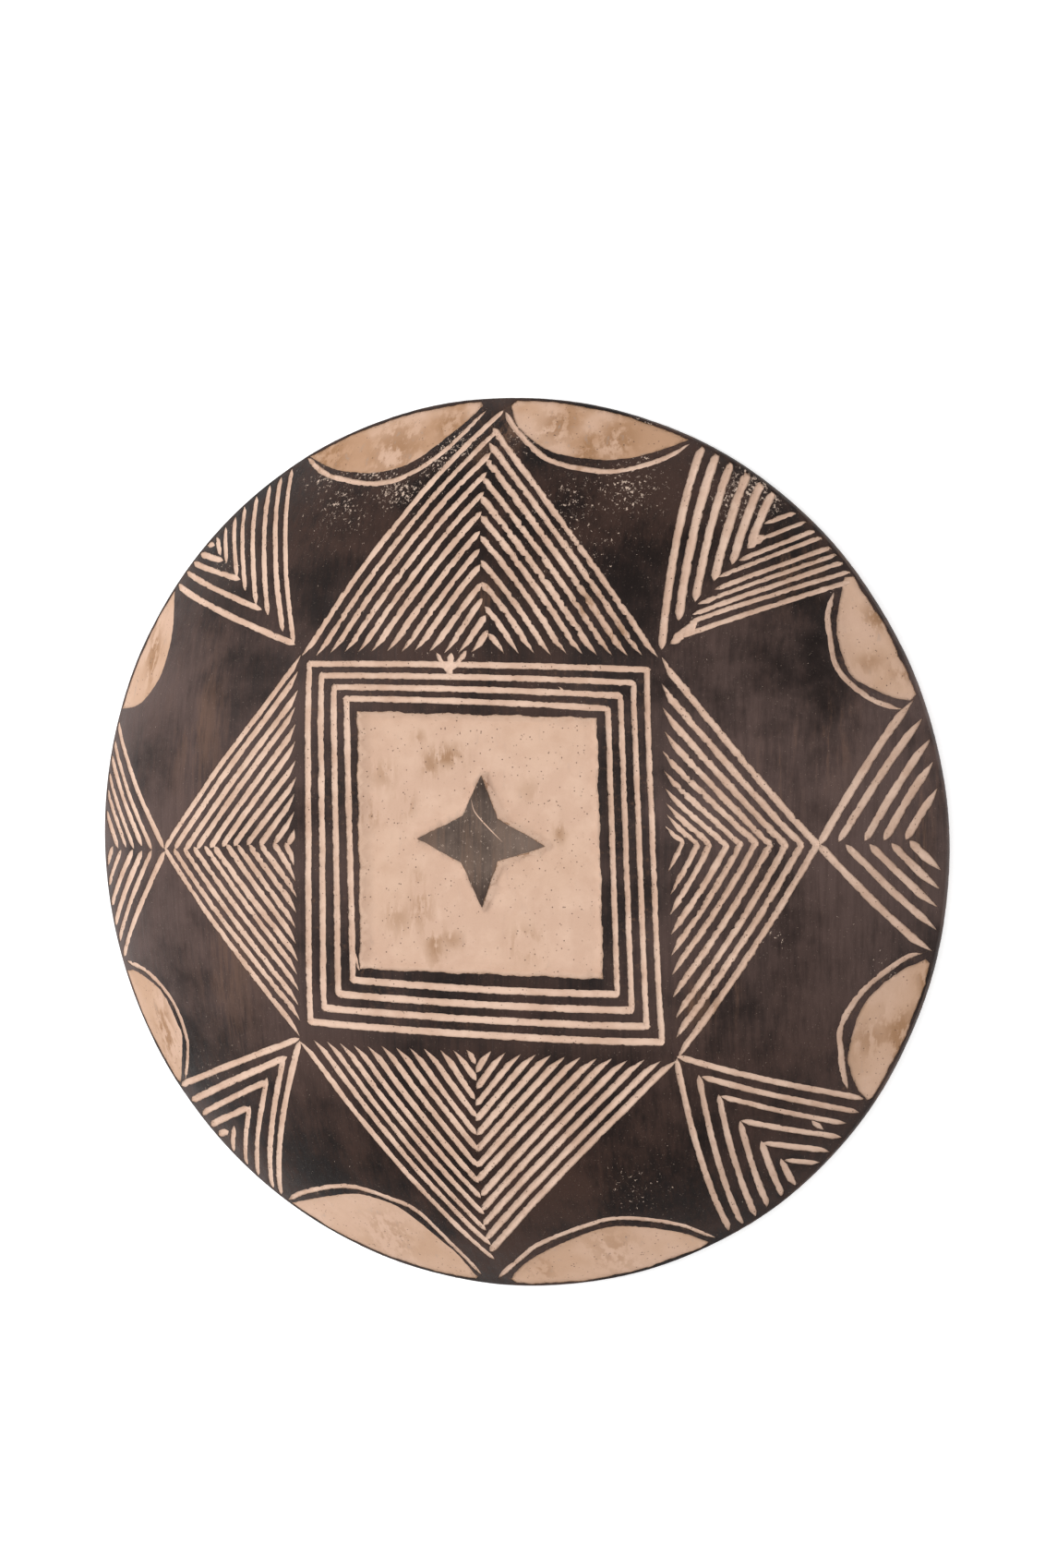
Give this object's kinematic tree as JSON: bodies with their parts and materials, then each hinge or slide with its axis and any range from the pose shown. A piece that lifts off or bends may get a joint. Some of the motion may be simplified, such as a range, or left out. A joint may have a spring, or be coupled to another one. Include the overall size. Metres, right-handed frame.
{
  "type": "carved bowl",
  "caption": "Round shallow wooden bowl lying mouth down, its dark outer face carved with a star panel, nested chevrons and rim scallops inlaid with white clay.",
  "frame": {"origin": "centre of the rim plane, which is the face the bowl rests on when mouth down", "axes": "+Z out of the carved face, along the bowl's axis; +Y towards the top of the square panel (along the wood's grain); +X to the right of the panel seen from above"},
  "size_m": [0.45, 0.45, 0.07],
  "materials": {
    "dark_wood": "dark stained hardwood, waxed, with open pores and scratches",
    "white_clay": null
  },
  "bodies": {
    "root": {"carved_body": "dark_wood", "panel_clay": "white_clay", "frame_line_inner": "white_clay", "frame_line_second": "white_clay", "frame_line_third": "white_clay", "frame_line_outer": "white_clay", "north_chevrons": "white_clay", "south_chevrons": "white_clay", "east_chevrons": "white_clay", "west_chevrons": "white_clay", "west_rim_chevrons": "white_clay", "east_rim_chevrons": "white_clay", "northeast_chevrons": "white_clay", "northwest_chevrons": "white_clay", "southwest_chevrons": "white_clay", "southeast_chevrons": "white_clay", "north_northwest_field": "white_clay", "north_northeast_field": "white_clay", "east_northeast_field": "white_clay", "east_southeast_field": "white_clay", "south_southeast_field": "white_clay", "south_southwest_field": "white_clay", "west_southwest_field": "white_clay", "west_northwest_field": "white_clay", "north_northwest_outline": "white_clay", "north_northeast_outline": "white_clay", "east_northeast_outline": "white_clay", "east_southeast_outline": "white_clay", "south_southeast_outline": "white_clay", "south_southwest_outline": "white_clay", "west_southwest_outline": "white_clay"}
  },
  "joints": []
}
